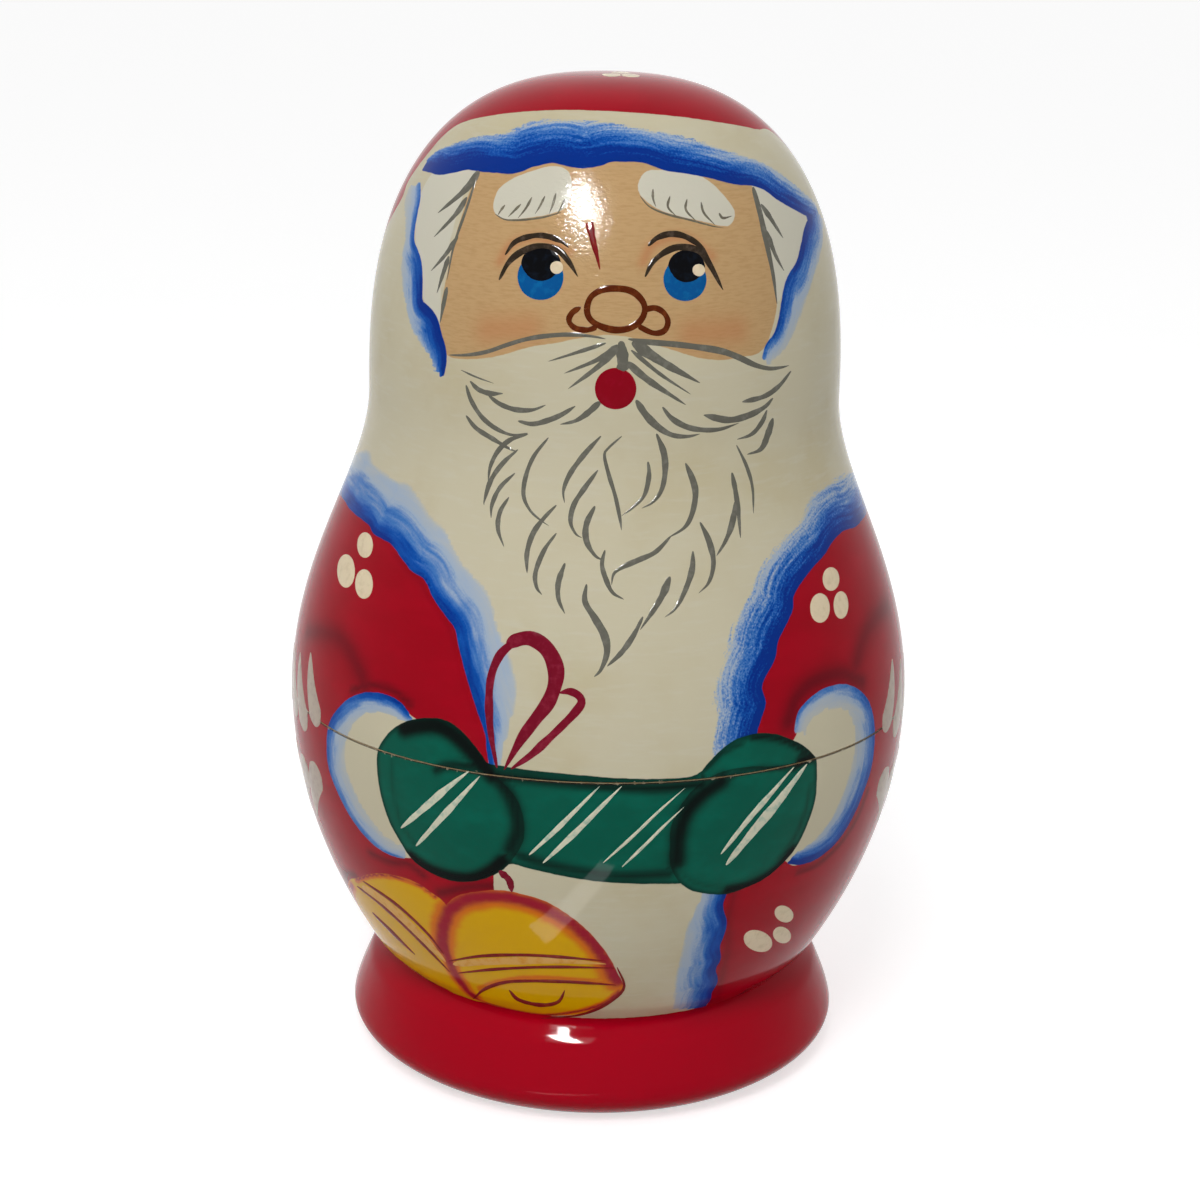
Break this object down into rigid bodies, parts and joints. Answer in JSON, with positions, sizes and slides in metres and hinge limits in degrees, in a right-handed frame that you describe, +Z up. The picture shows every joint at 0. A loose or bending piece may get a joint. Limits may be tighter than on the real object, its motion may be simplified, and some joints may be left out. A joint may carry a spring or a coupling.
{
  "type": "matryoshka nesting doll",
  "caption": "Turned wooden nesting doll painted as an old winter grandfather in a red coat, opening at the belly, with smaller dolls inside.",
  "frame": {"origin": "centre of the flat base of the largest doll, on the surface it stands on", "axes": "+Z up along the axis the dolls are turned on; the painted face looks along -Y"},
  "size_m": [0.0697, 0.0696, 0.11],
  "materials": {
    "painted_wood": "hand painted and varnished to a gloss",
    "painted_wood_head": "hand painted and varnished to a gloss"
  },
  "bodies": {
    "outer_doll_top": {"outer_doll_top": "painted_wood_head"},
    "outer_doll_bottom": {"outer_doll_bottom": "painted_wood"},
    "second_doll_top": {"second_doll_top": "painted_wood_head"},
    "second_doll_bottom": {"second_doll_bottom": "painted_wood"},
    "third_doll_top": {"third_doll_top": "painted_wood_head"},
    "third_doll_bottom": {"third_doll_bottom": "painted_wood"},
    "fourth_doll_top": {"fourth_doll_top": "painted_wood_head"},
    "fourth_doll_bottom": {"fourth_doll_bottom": "painted_wood"},
    "seed_doll": {"seed_doll": "painted_wood"}
  },
  "joints": [
    {"name": "outer_top_lift", "type": "slide", "parent": "outer_doll_bottom", "child": "outer_doll_top", "axis": [0, 0, 1], "range_m": [0, 0.294]},
    {"name": "second_bottom_lift", "type": "slide", "parent": "outer_doll_bottom", "child": "second_doll_bottom", "axis": [0, 0, 1], "range_m": [0, 0.0428]},
    {"name": "second_top_lift", "type": "slide", "parent": "second_doll_bottom", "child": "second_doll_top", "axis": [0, 0, 1], "range_m": [0, 0.1905]},
    {"name": "third_bottom_lift", "type": "slide", "parent": "second_doll_bottom", "child": "third_doll_bottom", "axis": [0, 0, 1], "range_m": [0, 0.0342]},
    {"name": "third_top_lift", "type": "slide", "parent": "third_doll_bottom", "child": "third_doll_top", "axis": [0, 0, 1], "range_m": [0, 0.1097]},
    {"name": "fourth_bottom_lift", "type": "slide", "parent": "third_doll_bottom", "child": "fourth_doll_bottom", "axis": [0, 0, 1], "range_m": [0, 0.0272]},
    {"name": "fourth_top_lift", "type": "slide", "parent": "fourth_doll_bottom", "child": "fourth_doll_top", "axis": [0, 0, 1], "range_m": [0, 0.0475]},
    {"name": "seed_lift", "type": "slide", "parent": "fourth_doll_bottom", "child": "seed_doll", "axis": [0, 0, 1], "range_m": [0, 0.0215]}
  ],
  "couplings": [
    {"joint": "second_bottom_lift", "follows": "outer_top_lift", "ratio": 0.144},
    {"joint": "second_top_lift", "follows": "outer_top_lift", "ratio": 0.6464},
    {"joint": "third_bottom_lift", "follows": "outer_top_lift", "ratio": 0.1146},
    {"joint": "third_top_lift", "follows": "outer_top_lift", "ratio": 0.3713},
    {"joint": "fourth_bottom_lift", "follows": "outer_top_lift", "ratio": 0.0907},
    {"joint": "fourth_top_lift", "follows": "outer_top_lift", "ratio": 0.1599},
    {"joint": "seed_lift", "follows": "outer_top_lift", "ratio": 0.0714}
  ]
}
